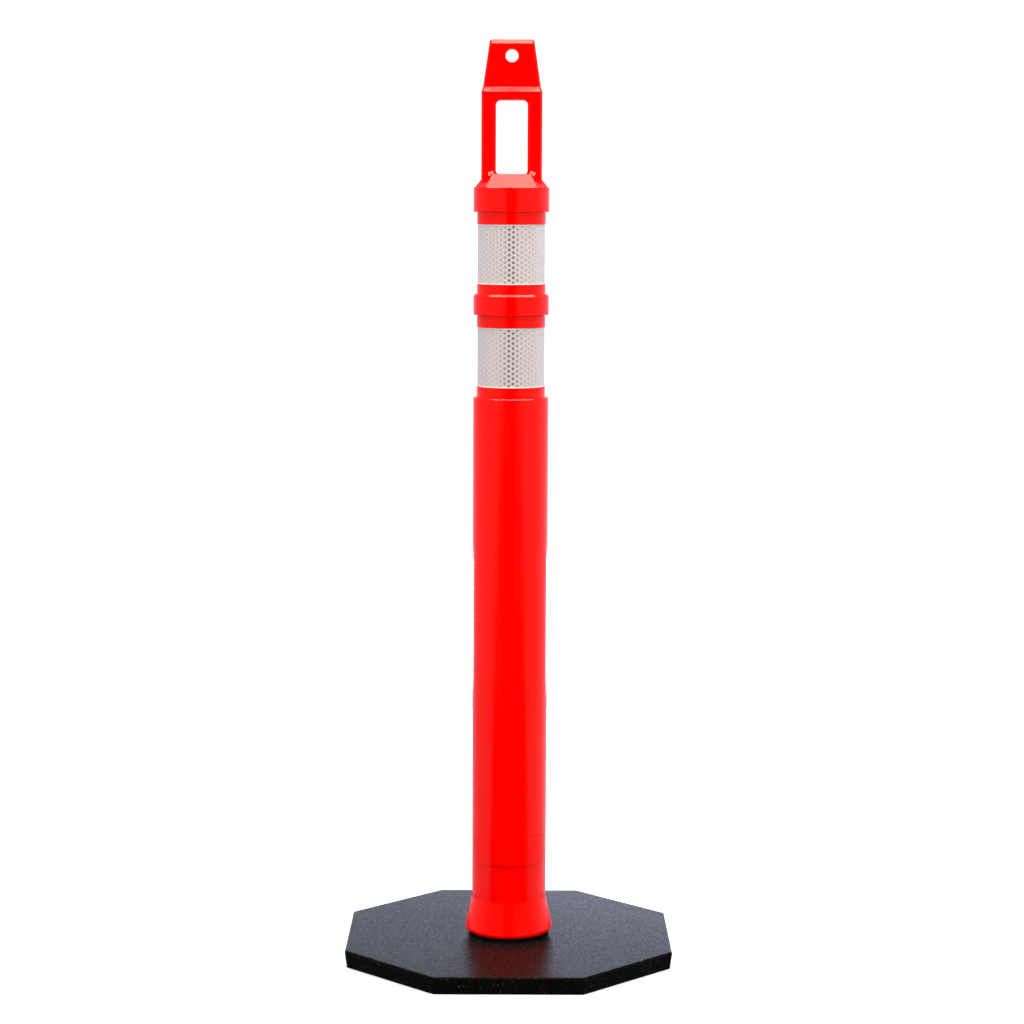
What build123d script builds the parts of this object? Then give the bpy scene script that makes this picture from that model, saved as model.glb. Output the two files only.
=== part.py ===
from build123d import *
import os
from math import atan2, cos, degrees, radians, sin, sqrt

os.makedirs("parts", exist_ok=True)

# A delineator post: a hollow moulded post with a carrying handle, two bands of
# reflective sheeting in recessed necks, and a heavy rubber base that the foot of
# the post locks into with a quarter turn. Millimetres. The origin is at the middle
# of the base's underside, +Z is up and -Y is the front.

# ---- overall ---------------------------------------------------------------
overall_height = 1144.0
wall = 3.0

# ---- rubber base -----------------------------------------------------------
base_across_flats = 406.4
base_front_edge = 183.0
base_thickness = 21.4
base_draft_inset = 3.0
base_edge_round = 2.0
seat_collar_wall = 6.2
seat_collar_height = 4.0

# ---- quarter-turn lock between post and base -------------------------------
foot_seat_width = 11.0
spigot_clearance = 0.75
spigot_ground_gap = 3.0
lug_reach = 5.0
lug_thickness = 6.0
lug_angle = 30.0
lug_clearance = 0.8
lug_stop_angle = 1.0
lock_turn = 90.0

# ---- foot and tube ---------------------------------------------------------
foot_radius = 55.0
foot_rim_round = 5.0
flare_height = 44.0
tube_radius = 46.8
tube_top_chamfer = 0.9

# ---- label panel, moulded plain on the front of the tube -------------------
panel_width = 86.0
panel_height = 37.0
panel_bottom_above_flare = 47.5
panel_relief = 0.7
panel_top_corner = 3.0
panel_bottom_corner = 7.0

# ---- necks, rings and bands ------------------------------------------------
neck_step = 4.3
band_recess_depth = 1.5
band_height = 73.4
band_thickness = 0.4
band_slack = 0.3
band_lap = 10.0
cap_ring_step = 0.1
cap_ring_height = 30.5
upper_neck_height = 15.0
gap_above_spacer = 12.2
spacer_ring_height = 26.0
spacer_ring_chamfer = 2.2
gap_below_spacer = 14.9
lower_neck_height = 13.4
edge_chamfer = 0.8

# ---- handle ----------------------------------------------------------------
tab_height = 58.0
tab_top_width = 55.7
tab_bottom_width = 71.0
tab_thickness = 17.0
tab_corner_round = 5.0
tab_top_chamfer = 5.2
ledge_height = 6.0
crossbar_height = 10.2
grip_width = 74.7
grip_depth = 30.0
grip_edge_bevel = 2.6
rope_hole_radius = 8.0
rope_hole_below_top = 20.0
window_width = 39.2
window_height = 90.5
window_top_round = 6.0
window_bottom_round = 4.5
window_edge_bevel = 3.2
cap_facets = 8
cap_slope_height = 16.1
cap_top_radius = 32.6
foot_web_step = 2.0
foot_web_width = 7.0
foot_web_rise = 4.5
foot_web_slope = 20.0

# ---- modelling --------------------------------------------------------------
cutter_reach = 2.0
edge_margin = 0.5
touch_tolerance = 0.01

# ---- sizes that follow from the ones above ---------------------------------
rest_z = base_thickness + seat_collar_height
widest_z = rest_z + foot_rim_round
flare_top_z = rest_z + flare_height
tab_bottom_z = overall_height - tab_height
grip_top_z = tab_bottom_z - ledge_height
window_top_z = grip_top_z - crossbar_height
plateau_z = window_top_z - window_height
cap_ring_top_z = plateau_z - cap_slope_height
cap_ring_bottom_z = cap_ring_top_z - cap_ring_height
recess_height = band_height + 2 * band_slack
upper_recess_top_z = cap_ring_bottom_z - upper_neck_height
upper_recess_bottom_z = upper_recess_top_z - recess_height
spacer_top_z = upper_recess_bottom_z - gap_above_spacer
spacer_bottom_z = spacer_top_z - spacer_ring_height
lower_recess_top_z = spacer_bottom_z - gap_below_spacer
lower_recess_bottom_z = lower_recess_top_z - recess_height
tube_top_z = lower_recess_bottom_z - lower_neck_height
neck_radius = tube_radius - neck_step
recess_radius = neck_radius - band_recess_depth
cap_ring_radius = tube_radius + cap_ring_step
rim_centre = foot_radius - foot_rim_round
spigot_radius = rim_centre - foot_seat_width
bore_radius = spigot_radius + spigot_clearance
lug_radius = spigot_radius + lug_reach
lug_top_z = spigot_ground_gap + lug_thickness
lug_pocket_radius = lug_radius + lug_clearance
lug_pocket_z = lug_top_z + lug_clearance
seat_collar_radius = lug_pocket_radius + seat_collar_wall


def turned_outline():
    """Half outline of the post below the cap, radius against height."""
    run = tube_radius - rim_centre
    rise = flare_top_z - widest_z
    lean = tangent_lean(run, rise, foot_rim_round)
    rim_x = rim_centre + foot_rim_round * cos(lean)
    rim_z = widest_z + foot_rim_round * sin(lean)
    middle = (lean - radians(90)) / 2
    arc_x = rim_centre + foot_rim_round * cos(middle)
    arc_z = widest_z + foot_rim_round * sin(middle)
    foot = Polyline(
        (0, spigot_ground_gap),
        (spigot_radius, spigot_ground_gap),
        (spigot_radius, rest_z),
        (rim_centre, rest_z),
    )
    rim = ThreePointArc((rim_centre, rest_z), (arc_x, arc_z), (rim_x, rim_z))
    stack = Polyline(
        (rim_x, rim_z),
        (tube_radius, flare_top_z),
        (tube_radius, tube_top_z - tube_top_chamfer),
        (tube_radius - tube_top_chamfer, tube_top_z),
        (neck_radius, tube_top_z),
        (neck_radius, lower_recess_bottom_z),
        (recess_radius, lower_recess_bottom_z),
        (recess_radius, lower_recess_top_z),
        (neck_radius, lower_recess_top_z),
        (neck_radius, spacer_bottom_z),
        (tube_radius - edge_chamfer, spacer_bottom_z),
        (tube_radius, spacer_bottom_z + edge_chamfer),
        (tube_radius, spacer_top_z - spacer_ring_chamfer),
        (tube_radius - spacer_ring_chamfer, spacer_top_z),
        (neck_radius, spacer_top_z),
        (neck_radius, upper_recess_bottom_z),
        (recess_radius, upper_recess_bottom_z),
        (recess_radius, upper_recess_top_z),
        (neck_radius, upper_recess_top_z),
        (neck_radius, cap_ring_bottom_z),
        (cap_ring_radius - edge_chamfer, cap_ring_bottom_z),
        (cap_ring_radius, cap_ring_bottom_z + edge_chamfer),
        (cap_ring_radius, cap_ring_top_z - edge_chamfer),
        (cap_ring_radius - edge_chamfer, cap_ring_top_z),
        (0, cap_ring_top_z),
        (0, spigot_ground_gap),
    )
    return foot + rim + stack


def tangent_lean(run, rise, radius):
    """Angle on the rim's circle where a line from the tube's edge just touches it."""
    reach = sqrt(run * run + rise * rise)
    return atan2(rise, run) - acos_of(radius / reach)


def acos_of(ratio):
    return atan2(sqrt(1 - ratio * ratio), ratio)


def turned_cavity_outline():
    """Half outline of the hollow, one wall inside the outer surface."""
    inner_tube = tube_radius - wall
    inner_neck = recess_radius - wall
    inner_ring = cap_ring_radius - wall
    inner_rim = foot_radius - wall
    return Polyline(
        (0, 0),
        (spigot_radius - wall, 0),
        (spigot_radius - wall, rest_z + wall),
        (rim_centre, rest_z + wall),
        (inner_rim - wall / 2, widest_z - foot_rim_round / 2 + wall / 2),
        (inner_rim, widest_z),
        (inner_tube, flare_top_z),
        (inner_tube, tube_top_z - wall),
        (inner_neck, tube_top_z - wall),
        (inner_neck, spacer_bottom_z + wall),
        (inner_tube, spacer_bottom_z + wall),
        (inner_tube, spacer_top_z - wall),
        (inner_neck, spacer_top_z - wall),
        (inner_neck, cap_ring_bottom_z + wall),
        (inner_ring, cap_ring_bottom_z + wall),
        (inner_ring, cap_ring_top_z - wall),
        (0, cap_ring_top_z - wall),
        (0, 0),
    )


def turned(outline):
    face = make_face(Plane.XZ * outline)
    return revolve(face, Axis.Z)


def octagon_prism(low_radius, low_z, high_radius, high_z):
    """Sloping facets round the cap, with a corner at the front and one at each side."""
    low = Pos(0, 0, low_z) * RegularPolygon(low_radius, cap_facets)
    high = Pos(0, 0, high_z) * RegularPolygon(high_radius, cap_facets)
    return loft([low.face(), high.face()], ruled=True)


def handle_front(inset):
    """Front view of the handle: a tapering tab on a wider grip."""
    top = overall_height - inset
    half_top = tab_top_width / 2 - inset
    half_tab = tab_bottom_width / 2 - inset
    half_grip = grip_width / 2 - inset
    low = cap_ring_top_z
    outline = Polyline(
        (-half_grip, low),
        (half_grip, low),
        (half_grip, grip_top_z - inset / 2),
        (half_tab, tab_bottom_z - inset / 2),
        (half_top, top),
        (-half_top, top),
        (-half_tab, tab_bottom_z - inset / 2),
        (-half_grip, grip_top_z - inset / 2),
        (-half_grip, low),
    )
    face = make_face(outline)
    corners = face.vertices().sort_by(Axis.Y)[-2:]
    face = fillet(corners, tab_corner_round)
    return extrude(Plane.XZ * face, grip_depth, both=True)


def bevelled_face(half_width, half_depth, height):
    """A level rectangle with its four corners cut off by the edge bevel."""
    b = grip_edge_bevel
    outline = Polyline(
        (b - half_width, -half_depth),
        (half_width - b, -half_depth),
        (half_width, b - half_depth),
        (half_width, half_depth - b),
        (half_width - b, half_depth),
        (b - half_width, half_depth),
        (-half_width, half_depth - b),
        (-half_width, b - half_depth),
        (b - half_width, -half_depth),
    )
    return Pos(0, 0, height) * make_face(outline)


def handle_stack(inset):
    """Grip, sloping ledge, tapering tab and chamfered top, one above another."""
    half_grip = grip_width / 2 - inset
    half_low = tab_bottom_width / 2 - inset
    half_top = tab_top_width / 2 - inset
    deep = grip_depth / 2 - inset
    thin = tab_thickness / 2 - inset
    crest = thin - tab_top_chamfer + inset
    shoulder_z = overall_height - tab_top_chamfer - inset / 2
    top_z = overall_height - inset
    levels = [
        bevelled_face(half_grip, deep, cap_ring_top_z),
        bevelled_face(half_grip, deep, grip_top_z - inset / 2),
        bevelled_face(half_low, thin, tab_bottom_z - inset / 2),
        bevelled_face(half_top, thin, shoulder_z),
        bevelled_face(half_top, crest, top_z),
    ]
    block = loft([levels[0].face(), levels[1].face()], ruled=True)
    for low, high in zip(levels[1:], levels[2:]):
        block += loft([low.face(), high.face()], ruled=True)
    return block


def window_prism(grow):
    """The hand hole, cut straight through from front to back."""
    width = window_width + 2 * grow
    sill_z = plateau_z - grow
    outline = Polyline(
        (-width / 2, sill_z),
        (width / 2, sill_z),
        (width / 2, window_top_z + grow),
        (-width / 2, window_top_z + grow),
        (-width / 2, sill_z),
    )
    face = make_face(outline)
    ends = face.vertices().sort_by(Axis.Y)
    face = fillet(ends[-2:], window_top_round + grow)
    if grow == 0:
        face = fillet(face.vertices().sort_by(Axis.Y)[:2], window_bottom_round)
    return extrude(Plane.XZ * face, grip_depth, both=True)


def window_edges(block):
    """The hand hole's edges on the front and back faces, apart from its sill."""
    near = []
    for e in block.edges():
        c = e.center()
        on_face = abs(abs(c.Y) - grip_depth / 2) < touch_tolerance
        beside = abs(c.X) < window_width / 2 + edge_margin
        above = plateau_z + edge_margin < c.Z < window_top_z + edge_margin
        if on_face and beside and above:
            near.append(e)
    return near


def rope_hole(grow):
    height = overall_height - rope_hole_below_top
    bar = Cylinder(rope_hole_radius + grow, grip_depth * cutter_reach)
    return Pos(0, 0, height) * Rot(90, 0, 0) * bar


def handle():
    block = handle_stack(0) & handle_front(0)
    block = block - window_prism(0)
    block = chamfer(window_edges(block), window_edge_bevel)
    return block - rope_hole(0)


def handle_cavity():
    hollow = handle_stack(wall) & handle_front(wall)
    hollow = hollow - window_prism(wall)
    return hollow - rope_hole(wall)


def foot_webs():
    """Small sloping webs where the handle's legs stand on the cap."""
    inner = window_width / 2 + foot_web_step
    start = grip_depth / 2 - wall / 2
    toe = grip_depth / 2 + foot_web_rise
    low = plateau_z - 2 * wall
    web_outline = Polyline(
        (start, low),
        (toe, low),
        (toe, plateau_z),
        (grip_depth / 2, plateau_z + foot_web_rise),
        (start, plateau_z + foot_web_rise),
        (start, low),
    )
    web = extrude(Plane.YZ * make_face(web_outline), foot_web_width)
    web = Pos(0, 0, plateau_z) * Rot(0, foot_web_slope, 0) * Pos(0, 0, -plateau_z) * web
    right = Pos(inner, 0, 0) * web
    left = mirror(right, Plane.YZ)
    front = right + left
    return front + mirror(front, Plane.XZ)


def label_panel():
    """A plain raised panel drawn straight off the front of the tube."""
    low = flare_top_z + panel_bottom_above_flare
    middle = low + panel_height / 2
    outline = Pos(0, middle) * Rectangle(panel_width, panel_height)
    corners = outline.face().vertices().sort_by(Axis.Y)
    face = fillet(corners[:2], panel_bottom_corner)
    face = fillet(face.vertices().sort_by(Axis.Y)[-2:], panel_top_corner)
    plug = extrude(Plane.XZ * face, foot_radius)
    long = panel_height * cutter_reach
    skin = Pos(0, 0, middle) * Cylinder(tube_radius + panel_relief, long)
    core = Pos(0, 0, middle) * Cylinder(tube_radius - wall / 2, long)
    return (skin - core) & plug


def sector(radius, low_z, high_z, start_angle, sweep):
    wedge = Cylinder(radius, high_z - low_z, arc_size=sweep, align=Align.NONE)
    return Pos(0, 0, low_z) * Rot(0, 0, start_angle) * wedge


def lock_lugs():
    """Two lugs that reach out from the bottom of the spigot, at the sides."""
    start = -lug_angle / 2
    lug = sector(lug_radius, spigot_ground_gap, lug_top_z, start, lug_angle)
    core = Pos(0, 0, lug_top_z / 2) * Cylinder(spigot_radius - wall / 2, lug_top_z * cutter_reach)
    lug = lug - core
    return lug + Rot(0, 0, 180) * lug


def post_body():
    cap = octagon_prism(
        cap_ring_radius - edge_chamfer, cap_ring_top_z - wall / 2, cap_top_radius, plateau_z
    )
    cap_cavity = octagon_prism(
        cap_ring_radius - 2 * wall, cap_ring_top_z - wall, cap_top_radius - wall, plateau_z - wall
    )
    outer = turned(turned_outline()) + cap + handle() + foot_webs()
    hollow = turned(turned_cavity_outline()) + cap_cavity + handle_cavity()
    shell = outer - hollow
    return shell + label_panel() + lock_lugs()


def reflective_band(low_z):
    """One strip of sheeting wrapped round its recess, with its lap at the back."""
    outer_radius = recess_radius + band_thickness
    middle = low_z + band_height / 2
    ring = Cylinder(outer_radius, band_height) - Cylinder(recess_radius, band_height)
    lap_angle = degrees(band_lap / outer_radius)
    lap_start = 90 - lap_angle / 2
    lap_radius = outer_radius + band_thickness
    lap = sector(lap_radius, -band_height / 2, band_height / 2, lap_start, lap_angle)
    lap = lap - Cylinder(recess_radius, band_height)
    return Pos(0, 0, middle) * (ring + lap)


def octagon_face(inset, height):
    """The base's outline at one height, drawn in by an inset all round."""
    half = base_across_flats / 2 - inset
    edge = base_front_edge / 2 - inset * (base_front_edge / base_across_flats)
    outline = Polyline(
        (-edge, -half),
        (edge, -half),
        (half, -edge),
        (half, edge),
        (edge, half),
        (-edge, half),
        (-half, edge),
        (-half, -edge),
        (-edge, -half),
    )
    return Pos(0, 0, height) * make_face(outline)


def rubber_base():
    low = octagon_face(base_draft_inset, 0)
    high = octagon_face(0, base_thickness)
    slab = loft([low.face(), high.face()], ruled=True)
    rim = slab.faces().sort_by(Axis.Z)[-1].edges()
    slab = fillet(rim, base_edge_round)
    collar_middle = base_thickness + seat_collar_height / 2 - wall / 2
    slab += Pos(0, 0, collar_middle) * Cylinder(seat_collar_radius, seat_collar_height + wall)
    slab -= Pos(0, 0, rest_z / 2) * Cylinder(bore_radius, rest_z * cutter_reach)
    half_lug = lug_angle / 2 + lug_stop_angle
    for side in (0, 180):
        travel = lock_turn + 2 * half_lug
        slab -= sector(lug_pocket_radius, 0, lug_pocket_z, side - half_lug, travel)
        keyway_start = side + lock_turn - half_lug
        slab -= sector(lug_pocket_radius, 0, rest_z, keyway_start, 2 * half_lug)
    return slab


def save(part, name):
    export_step(part, os.path.join("parts", name + ".step"))


save(post_body(), "post_body")
save(reflective_band(upper_recess_bottom_z + band_slack), "upper_reflective_band")
save(reflective_band(lower_recess_bottom_z + band_slack), "lower_reflective_band")
save(rubber_base(), "rubber_base")
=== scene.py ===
from math import cos, pi, radians, sin

import bpy
from mathutils import Matrix, Vector


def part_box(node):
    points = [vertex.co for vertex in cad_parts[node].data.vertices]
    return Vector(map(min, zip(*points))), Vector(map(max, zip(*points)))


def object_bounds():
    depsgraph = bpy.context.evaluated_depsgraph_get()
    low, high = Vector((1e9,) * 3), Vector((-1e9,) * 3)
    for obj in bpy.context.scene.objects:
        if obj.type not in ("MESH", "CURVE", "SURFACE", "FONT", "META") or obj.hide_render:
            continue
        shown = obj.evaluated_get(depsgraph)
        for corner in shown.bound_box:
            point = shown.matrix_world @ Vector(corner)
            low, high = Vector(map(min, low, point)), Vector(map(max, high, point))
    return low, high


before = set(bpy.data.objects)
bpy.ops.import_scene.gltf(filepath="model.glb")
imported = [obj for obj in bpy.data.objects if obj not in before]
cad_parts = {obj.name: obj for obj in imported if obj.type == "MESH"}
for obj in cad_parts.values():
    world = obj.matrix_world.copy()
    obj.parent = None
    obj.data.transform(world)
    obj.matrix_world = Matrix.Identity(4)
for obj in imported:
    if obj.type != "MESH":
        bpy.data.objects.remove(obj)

CAD_LOW, CAD_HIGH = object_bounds()

# ---- sizes, in metres -------------------------------------------------------
MM = 0.001
UPPER_LOW, UPPER_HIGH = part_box("upper_reflective_band")
LOWER_LOW, LOWER_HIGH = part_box("lower_reflective_band")

# Colours are linear. A bump is a strength and a depth, a size is a width and a
# height, and any other pair gives the two ends of a fade.
POLYMER_IOR = 1.5
WHITE = (1.0, 1.0, 1.0, 1.0)

# ---- moulded orange plastic -------------------------------------------------
ORANGE = (0.93, 0.0003, 0.0003, 1.0)
ORANGE_WORN = (0.96, 0.0012, 0.0006, 1.0)
# painted shade: darker red put into the label panel's edge line, standing in for shade in the
# recess
PANEL_EDGE_SHADE = (0.78, 0.0, 0.0, 1.0)
ORANGE_SPECULAR = 0.26
ORANGE_GLOSS = (1.0, 0.94, 0.72, 1.0)
ORANGE_ROUGHNESS = (0.13, 0.17)
ORANGE_DRIFT = 5.0
ORANGE_GRAIN = 1100.0
ORANGE_BUMP = (0.5, 0.25 * MM)
GRAIN_RELIEF = 0.06
SEAM_FADE = (0.25 * MM, 0.8 * MM)
SEAM_RELIEF = 0.8

# ---- label panel on the tube ------------------------------------------------
PANEL_HALF_WIDTH = 43.0 * MM
PANEL_HALF_HEIGHT = 18.5 * MM
PANEL_ABOVE_GROUND = 135.4 * MM
PANEL_MIDDLE = CAD_LOW.z + PANEL_ABOVE_GROUND
PANEL_CORNER = 6.0 * MM
PANEL_LINE_FADE = (0.52 * MM, 1.3 * MM)
PANEL_RELIEF = 0.15

# ---- reflective sheeting ----------------------------------------------------
SHEETING = (0.55, 0.48, 0.46, 1.0)
SHEETING_CELL = (0.82, 0.72, 0.68, 1.0)
SHEETING_SEAL = (0.56, 0.74, 0.71, 1.0)
SHEETING_ROUGHNESS = (0.38, 0.20)
CELL_COLUMNS = 50
CELL_ROW = 6.2 * MM
CELL_RADIUS = 2.0 * MM
CELL_SOFT = 0.8 * MM
CELL_METAL = 0.82
CELL_BUMP = (0.25, 0.1 * MM)
SEAL_WIDTH = 1.3 * MM
SEAL_SOFT = 0.2 * MM
SEAL_REACH = 2.0 * MM

# ---- bonded rubber ----------------------------------------------------------
RUBBER = (0.0022, 0.0022, 0.0018, 1.0)
RUBBER_PALE = (0.0050, 0.0050, 0.0042, 1.0)
RUBBER_SPECK = (0.045, 0.045, 0.042, 1.0)
RUBBER_SPECULAR = 0.026
RUBBER_ROUGHNESS = (0.26, 0.42)
RUBBER_GRAIN = 760.0
RUBBER_CRUMB = 620.0
RUBBER_BUMP = (0.6, 0.22 * MM)
CRUMB_RELIEF = 0.5
PALE_CRUMB_SHARE = 0.03

# ---- floor ------------------------------------------------------------------
FLOOR = (0.90, 0.90, 0.90, 1.0)
FLOOR_WORN = (0.88, 0.88, 0.88, 1.0)
FLOOR_ROUGHNESS = 0.6
FLOOR_DRIFT = 0.7
FLOOR_RADIUS = 1.6
FLOOR_STEPS = 96
FLOOR_DROP = 0.2 * MM

# ---- studio walls, as the surfaces feel them --------------------------------
BACKDROP = 1.05
FRONT_GAP = (0.94, 0.98)
GAP_DIP_START = 0.05
GAP_DIP_GAIN = 2.4
LOW_LIMIT = (-0.5, -0.35)
HORIZON = (0.04, 0.10)
SIDE_LIGHT = 0.6
SIDE_HIGH = 0.25
BACK_LIGHT = 0.9
BACK_LOW = 0.75
BACK_SLOPE = (0.20, 0.32)
BACK_FALL = (1.1, 0.5)
SIDE_TO_BACK = (0.2, -0.4)
RIGHT_GAIN = 0.2
BACK_TINT = (0.84, 0.86, 1.0, 1.0)

# ---- lamps ------------------------------------------------------------------
COOL_WHITE = (0.70, 0.73, 1.0)
OVERHEAD_PLACE = (0.1, -0.1, 2.6)
OVERHEAD_AIM = (0.1, 0.0, 0.9)
OVERHEAD_SIZE = (2.4, 1.8)
OVERHEAD_WATTS = 150
FILL_SIZE = (2.4, 2.4)
FILL_HEIGHT = 1.1
FILL_AIM = (0.0, 0.0, 0.5)
FRONT_FILL_ASIDE = 2.5
FRONT_FILL_AHEAD = 2.3
FRONT_WATTS = 84
REAR_FILL_BEHIND = 3.4
REAR_WATTS = 75
STRIP_ASIDE = 0.35
STRIP_BEHIND = 1.3
STRIP_HEIGHT = 0.20
STRIP_AIM_HEIGHT = 0.02
STRIP_SIZE = (0.7, 0.24)
LEFT_STRIP_WATTS = 2.4
RIGHT_STRIP_WATTS = 3.3

# ---- camera, angles in degrees and lens in millimetres ----------------------
CAMERA_PLACE = Vector((0.00195, -3.2978, 0.9520))
CAMERA_TILT = 5.83
CAMERA_ROLL = 0.235
CAMERA_LENS = 93.2
CAMERA_SENSOR = 36.0
CAMERA_SHIFT = -0.0439
CAMERA_NEAR = 0.05
CAMERA_FAR = 50.0


# ---- node helpers -----------------------------------------------------------
class Wiring:
    """Adds nodes to one tree and joins them up."""

    def __init__(self, tree):
        self.tree = tree

    def node(self, kind, **settings):
        made = self.tree.nodes.new(kind)
        for name, value in settings.items():
            setattr(made, name, value)
        return made

    def feed(self, socket, value):
        if isinstance(value, bpy.types.NodeSocket):
            self.tree.links.new(value, socket)
        else:
            socket.default_value = value

    def math(self, operation, first, second=0.0):
        made = self.node("ShaderNodeMath", operation=operation)
        self.feed(made.inputs[0], first)
        self.feed(made.inputs[1], second)
        return made.outputs[0]

    def length(self, first, second):
        """The longest side of a right-angled triangle with these two short sides."""
        squares = self.math("ADD", self.math("POWER", first, 2.0), self.math("POWER", second, 2.0))
        return self.math("SQRT", squares)

    def fade(self, value, start, end, low=0.0, high=1.0):
        made = self.node("ShaderNodeMapRange", interpolation_type="SMOOTHSTEP")
        self.feed(made.inputs["Value"], value)
        self.feed(made.inputs["From Min"], start)
        self.feed(made.inputs["From Max"], end)
        self.feed(made.inputs["To Min"], low)
        self.feed(made.inputs["To Max"], high)
        return made.outputs["Result"]

    def mix(self, share, first, second):
        made = self.node("ShaderNodeMix", data_type="RGBA")
        self.feed(made.inputs["Factor"], share)
        self.feed(made.inputs["A"], first)
        self.feed(made.inputs["B"], second)
        return made.outputs["Result"]

    def noise(self, where, scale, detail=2.0, rough=0.5):
        made = self.node("ShaderNodeTexNoise")
        self.feed(made.inputs["Vector"], where)
        self.feed(made.inputs["Scale"], scale)
        self.feed(made.inputs["Detail"], detail)
        self.feed(made.inputs["Roughness"], rough)
        return made.outputs["Fac"]

    def split(self, vector):
        made = self.node("ShaderNodeSeparateXYZ")
        self.feed(made.inputs[0], vector)
        return made.outputs

    def bump(self, height, strength, depth):
        made = self.node("ShaderNodeBump")
        self.feed(made.inputs["Height"], height)
        self.feed(made.inputs["Strength"], strength)
        self.feed(made.inputs["Distance"], depth)
        return made.outputs["Normal"]

    def place(self):
        return self.node("ShaderNodeTexCoord").outputs["Object"]


def group(name, inputs, outputs):
    """An empty shader node group with named sockets. Returns it with its ends."""
    tree = bpy.data.node_groups.new(name, "ShaderNodeTree")
    for label, kind, value in inputs:
        made = tree.interface.new_socket(label, in_out="INPUT", socket_type=kind)
        if value is not None:
            made.default_value = value
    for label, kind in outputs:
        tree.interface.new_socket(label, in_out="OUTPUT", socket_type=kind)
    wires = Wiring(tree)
    start = wires.node("NodeGroupInput")
    end = wires.node("NodeGroupOutput")
    return tree, wires, start.outputs, end.inputs


def use_group(wires, tree, **values):
    """Places a group and feeds its inputs. Underscores in a label stand for spaces."""
    made = wires.node("ShaderNodeGroup", node_tree=tree)
    for label, value in values.items():
        wires.feed(made.inputs[label.replace("_", " ")], value)
    return made.outputs


def material(name):
    made = bpy.data.materials.new(name)
    made.use_nodes = True
    made.node_tree.nodes.clear()
    wires = Wiring(made.node_tree)
    shader = wires.node("ShaderNodeBsdfPrincipled")
    out = wires.node("ShaderNodeOutputMaterial")
    made.node_tree.links.new(shader.outputs[0], out.inputs["Surface"])
    return made, wires, shader.inputs


# ---- shared effect ----------------------------------------------------------
def fine_unevenness():
    """Slow tone drift and fine grain, for the moulded plastic and the rubber."""
    tree, w, given, out = group(
        "fine unevenness",
        [("Place", "NodeSocketVector", None), ("Drift Scale", "NodeSocketFloat", 6.0),
         ("Grain Scale", "NodeSocketFloat", 900.0)],
        [("Drift", "NodeSocketFloat"), ("Grain", "NodeSocketFloat")],
    )
    drift = w.noise(given["Place"], given["Drift Scale"], detail=3.0, rough=0.55)
    grain = w.noise(given["Place"], given["Grain Scale"], detail=2.0, rough=0.6)
    w.feed(out["Drift"], w.fade(drift, 0.3, 0.7))
    w.feed(out["Grain"], grain)
    return tree


UNEVEN = fine_unevenness()


# ---- materials --------------------------------------------------------------
def panel_edge(w, x, y, z):
    """Mask along the rounded edge of the label panel, on the front of the tube only. It paints
    shade into the recess edge and dips the bump there.
    """
    across = w.math("SUBTRACT", w.math("ABSOLUTE", x), PANEL_HALF_WIDTH - PANEL_CORNER)
    height = w.math("ABSOLUTE", w.math("SUBTRACT", z, PANEL_MIDDLE))
    along = w.math("SUBTRACT", height, PANEL_HALF_HEIGHT - PANEL_CORNER)
    beyond = w.length(w.math("MAXIMUM", across, 0.0), w.math("MAXIMUM", along, 0.0))
    within = w.math("MINIMUM", w.math("MAXIMUM", across, along), 0.0)
    off = w.math("SUBTRACT", w.math("ADD", beyond, within), PANEL_CORNER)
    line = w.fade(w.math("ABSOLUTE", off), *PANEL_LINE_FADE, 1.0, 0.0)
    return w.math("MULTIPLY", line, w.math("LESS_THAN", y, 0.0))


def moulded_orange():
    """Semi-gloss blow-moulded skin: tone drift, a parting line, and painted shade with a slight
    dip along the panel's edge.
    """
    made, w, skin = material("moulded orange polyethylene")
    place = w.place()
    x, y, z = w.split(place)
    uneven = use_group(w, UNEVEN, Place=place, Drift_Scale=ORANGE_DRIFT, Grain_Scale=ORANGE_GRAIN)
    tone = w.mix(uneven["Drift"], ORANGE, ORANGE_WORN)
    edge = panel_edge(w, x, y, z)
    # painted shade: the panel's edge line is darkened in the base colour, as well as dipped by the
    # bump
    w.feed(skin["Base Color"], w.mix(edge, tone, PANEL_EDGE_SHADE))
    w.feed(skin["Roughness"], w.fade(uneven["Drift"], 0.0, 1.0, *ORANGE_ROUGHNESS))
    skin["IOR"].default_value = POLYMER_IOR
    skin["Specular IOR Level"].default_value = ORANGE_SPECULAR
    skin["Specular Tint"].default_value = ORANGE_GLOSS
    grain = w.math("MULTIPLY", uneven["Grain"], GRAIN_RELIEF)
    seam = w.fade(w.math("ABSOLUTE", y), *SEAM_FADE, 1.0, 0.0)
    relief = w.math("ADD", grain, w.math("MULTIPLY", seam, SEAM_RELIEF))
    relief = w.math("SUBTRACT", relief, w.math("MULTIPLY", edge, PANEL_RELIEF))
    w.feed(skin["Normal"], w.bump(relief, *ORANGE_BUMP))
    return made


def prism_cells(w, x, y, z):
    """Mask of round cells in columns, every other column half a cell lower."""
    turn = w.math("ARCTAN2", x, w.math("MULTIPLY", y, -1.0))
    across = w.math("MULTIPLY", turn, CELL_COLUMNS / (2 * pi))
    odd = w.math("FLOORED_MODULO", w.math("FLOOR", across), 2.0)
    along = w.math("ADD", w.math("DIVIDE", z, CELL_ROW), w.math("MULTIPLY", odd, 0.5))
    cell_width = 2 * pi * UPPER_HIGH.x / CELL_COLUMNS
    aside = w.math("MULTIPLY", w.math("SUBTRACT", w.math("FRACT", across), 0.5), cell_width)
    above = w.math("MULTIPLY", w.math("SUBTRACT", w.math("FRACT", along), 0.5), CELL_ROW)
    reach = w.length(aside, above)
    return w.fade(reach, CELL_RADIUS - CELL_SOFT, CELL_RADIUS + CELL_SOFT, 1.0, 0.0)


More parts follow.
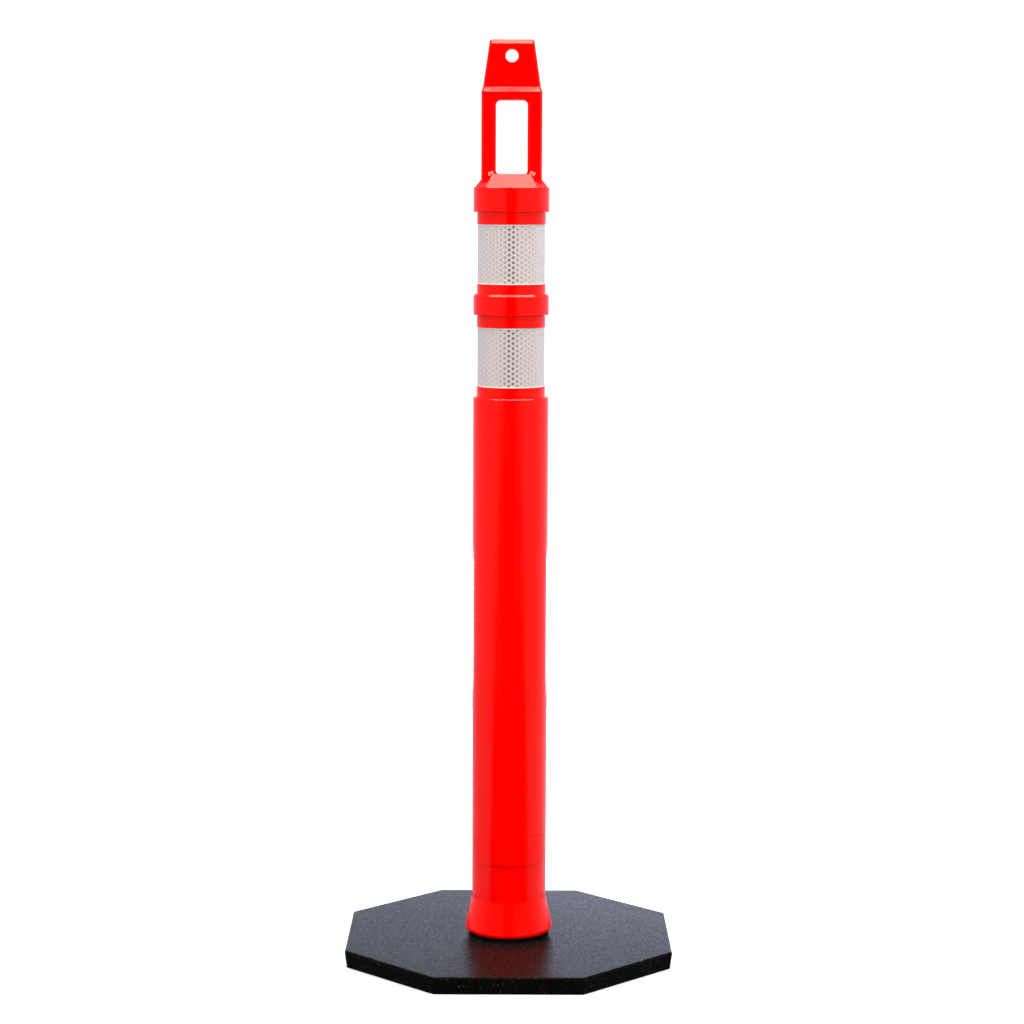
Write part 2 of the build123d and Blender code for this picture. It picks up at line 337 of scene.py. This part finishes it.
def sealed_edge(w, z, low, high):
    """Mask of the sealed strips along the top and bottom of one band."""
    half = (high - low) / 2
    off = w.math("ABSOLUTE", w.math("SUBTRACT", z, (low + high) / 2))
    strip = w.fade(off, half - SEAL_WIDTH - SEAL_SOFT, half - SEAL_WIDTH)
    return w.math("MULTIPLY", strip, w.math("LESS_THAN", off, half + SEAL_REACH))


def reflective_sheeting():
    """Metallised cells under a clear film that is sealed at both edges."""
    made, w, film = material("prismatic reflective sheeting")
    x, y, z = w.split(w.place())
    upper_seal = sealed_edge(w, z, UPPER_LOW.z, UPPER_HIGH.z)
    lower_seal = sealed_edge(w, z, LOWER_LOW.z, LOWER_HIGH.z)
    seal = w.math("MAXIMUM", upper_seal, lower_seal)
    cell = w.math("MULTIPLY", prism_cells(w, x, y, z), w.math("SUBTRACT", 1.0, seal))
    tone = w.mix(cell, SHEETING, SHEETING_CELL)
    w.feed(film["Base Color"], w.mix(seal, tone, SHEETING_SEAL))
    w.feed(film["Metallic"], w.math("MULTIPLY", cell, CELL_METAL))
    w.feed(film["Roughness"], w.fade(cell, 0.0, 1.0, *SHEETING_ROUGHNESS))
    film["IOR"].default_value = POLYMER_IOR
    w.feed(film["Normal"], w.bump(w.math("SUBTRACT", 1.0, cell), *CELL_BUMP))
    return made


def bonded_rubber():
    """Dark bonded granulate, uneven from crumb to crumb, with a few pale crumbs."""
    made, w, skin = material("bonded rubber granulate")
    place = w.place()
    uneven = use_group(w, UNEVEN, Place=place, Grain_Scale=RUBBER_GRAIN)
    crumb = w.node("ShaderNodeTexVoronoi", feature="F1")
    w.feed(crumb.inputs["Vector"], place)
    w.feed(crumb.inputs["Scale"], RUBBER_CRUMB)
    tone_lot, speck_lot, gloss_lot = w.split(crumb.outputs["Color"])
    tone = w.mix(tone_lot, RUBBER, RUBBER_PALE)
    pale = w.math("GREATER_THAN", speck_lot, 1.0 - PALE_CRUMB_SHARE)
    w.feed(skin["Base Color"], w.mix(w.math("MULTIPLY", pale, gloss_lot), tone, RUBBER_SPECK))
    w.feed(skin["Roughness"], w.fade(gloss_lot, 0.0, 1.0, *RUBBER_ROUGHNESS))
    skin["IOR"].default_value = POLYMER_IOR
    skin["Specular IOR Level"].default_value = RUBBER_SPECULAR
    height = w.math("ADD", w.math("MULTIPLY", gloss_lot, CRUMB_RELIEF), uneven["Grain"])
    w.feed(skin["Normal"], w.bump(height, *RUBBER_BUMP))
    return made


def paint(node, finish):
    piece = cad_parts[node]
    piece.data.materials.clear()
    piece.data.materials.append(finish)


paint("post_body", moulded_orange())
sheeting = reflective_sheeting()
paint("upper_reflective_band", sheeting)
paint("lower_reflective_band", sheeting)
paint("rubber_base", bonded_rubber())


# ---- floor and studio light -------------------------------------------------
def pale_floor():
    """A pale round floor. Past its edge the camera sees the white studio."""
    height = CAD_LOW.z - FLOOR_DROP
    points = [(0.0, 0.0, height)]
    for step in range(FLOOR_STEPS):
        turn = 2 * pi * step / FLOOR_STEPS
        points.append((FLOOR_RADIUS * cos(turn), FLOOR_RADIUS * sin(turn), height))
    faces = [(0, step + 1, (step + 1) % FLOOR_STEPS + 1) for step in range(FLOOR_STEPS)]
    mesh = bpy.data.meshes.new("floor")
    mesh.from_pydata(points, [], faces)
    piece = bpy.data.objects.new("floor", mesh)
    bpy.context.scene.collection.objects.link(piece)
    finish, w, skin = material("pale floor")
    w.feed(skin["Base Color"], w.mix(w.noise(w.place(), FLOOR_DRIFT), FLOOR, FLOOR_WORN))
    skin["Roughness"].default_value = FLOOR_ROUGHNESS
    mesh.materials.append(finish)
    piece.visible_glossy = False
    piece.visible_diffuse = False


def soft_light(name, place, aim, size, watts, colour=WHITE[:3]):
    width, height = size
    lamp = bpy.data.lights.new(name, "AREA")
    lamp.shape = "RECTANGLE"
    lamp.size = width
    lamp.size_y = height
    lamp.energy = watts
    lamp.color = colour
    piece = bpy.data.objects.new(name, lamp)
    bpy.context.scene.collection.objects.link(piece)
    piece.location = place
    piece.rotation_euler = (Vector(aim) - Vector(place)).to_track_quat("-Z", "Y").to_euler()
    piece.visible_camera = False
    return piece


def back_wall(w, x, z):
    """Light from behind: stronger above the horizon and to the right, weaker high up."""
    light = w.math("MULTIPLY", w.fade(z, *HORIZON, BACK_LOW, 1.0), BACK_LIGHT)
    light = w.math("MULTIPLY", w.fade(x, -1.0, 1.0, 1.0 - RIGHT_GAIN, 1.0 + RIGHT_GAIN), light)
    return w.math("MULTIPLY", w.fade(z, *BACK_SLOPE, *BACK_FALL), light)


def studio_world():
    """White to the camera. Surfaces feel pale side and back walls, and darkness
    straight in front, where the gap is wider lower down, and far below."""
    world = bpy.data.worlds.new("white studio")
    bpy.context.scene.world = world
    world.use_nodes = True
    world.node_tree.nodes.clear()
    w = Wiring(world.node_tree)
    x, y, z = w.split(w.node("ShaderNodeTexCoord").outputs["Generated"])
    ahead = w.math("DIVIDE", w.math("MULTIPLY", y, -1.0), w.length(x, y))
    below = w.math("SUBTRACT", w.math("MULTIPLY", z, -1.0), GAP_DIP_START)
    dip = w.math("MAXIMUM", below, 0.0)
    widened = w.math("ADD", ahead, w.math("MULTIPLY", dip, GAP_DIP_GAIN))
    outside_gap = w.fade(widened, *FRONT_GAP, 1.0, 0.0)
    side_wall = w.math("MULTIPLY", w.fade(z, *HORIZON, 1.0, SIDE_HIGH), SIDE_LIGHT)
    rear = w.fade(ahead, *SIDE_TO_BACK)
    walls = w.math("ADD", w.math("MULTIPLY", back_wall(w, x, z), rear),
                   w.math("MULTIPLY", side_wall, w.math("SUBTRACT", 1.0, rear)))
    walls = w.math("MULTIPLY", w.fade(z, *LOW_LIMIT), w.math("MULTIPLY", outside_gap, walls))

    seen = w.node("ShaderNodeBackground")
    w.feed(seen.inputs["Color"], WHITE)
    w.feed(seen.inputs["Strength"], BACKDROP)
    felt = w.node("ShaderNodeBackground")
    w.feed(felt.inputs["Color"], w.mix(rear, WHITE, BACK_TINT))
    w.feed(felt.inputs["Strength"], walls)
    choice = w.node("ShaderNodeMixShader")
    w.feed(choice.inputs[0], w.node("ShaderNodeLightPath").outputs["Is Camera Ray"])
    w.feed(choice.inputs[1], felt.outputs[0])
    w.feed(choice.inputs[2], seen.outputs[0])
    w.feed(w.node("ShaderNodeOutputWorld").inputs["Surface"], choice.outputs[0])


def lamps():
    """A softbox overhead, three large fills and two strips low down behind the base."""
    soft_light("overhead softbox", OVERHEAD_PLACE, OVERHEAD_AIM, OVERHEAD_SIZE, OVERHEAD_WATTS)
    for name, x, y, watts in (
        ("left fill", -FRONT_FILL_ASIDE, -FRONT_FILL_AHEAD, FRONT_WATTS),
        ("right fill", FRONT_FILL_ASIDE, -FRONT_FILL_AHEAD, FRONT_WATTS),
        ("rear fill", 0.0, REAR_FILL_BEHIND, REAR_WATTS),
    ):
        fill = soft_light(name, (x, y, FILL_HEIGHT), FILL_AIM, FILL_SIZE, watts)
        fill.visible_glossy = False
        fill.data.cycles.use_multiple_importance_sampling = False
    for name, x, watts in (
        ("left rear strip", -STRIP_ASIDE, LEFT_STRIP_WATTS),
        ("right rear strip", STRIP_ASIDE, RIGHT_STRIP_WATTS),
    ):
        place = (x, STRIP_BEHIND, STRIP_HEIGHT)
        strip = soft_light(name, place, (x, 0.0, STRIP_AIM_HEIGHT), STRIP_SIZE, watts, COOL_WHITE)
        strip.visible_diffuse = False


def front_camera():
    lens = bpy.data.cameras.new("camera")
    lens.lens = CAMERA_LENS
    lens.sensor_width = CAMERA_SENSOR
    lens.shift_y = CAMERA_SHIFT
    lens.clip_start = CAMERA_NEAR
    lens.clip_end = CAMERA_FAR
    piece = bpy.data.objects.new("camera", lens)
    bpy.context.scene.collection.objects.link(piece)
    tilt = Matrix.Rotation(radians(90 - CAMERA_TILT), 4, "X")
    roll = Matrix.Rotation(radians(CAMERA_ROLL), 4, "Z")
    piece.matrix_world = Matrix.Translation(CAMERA_PLACE) @ tilt @ roll
    bpy.context.scene.camera = piece


pale_floor()
studio_world()
lamps()
front_camera()
bpy.context.scene.view_settings.view_transform = "Standard"
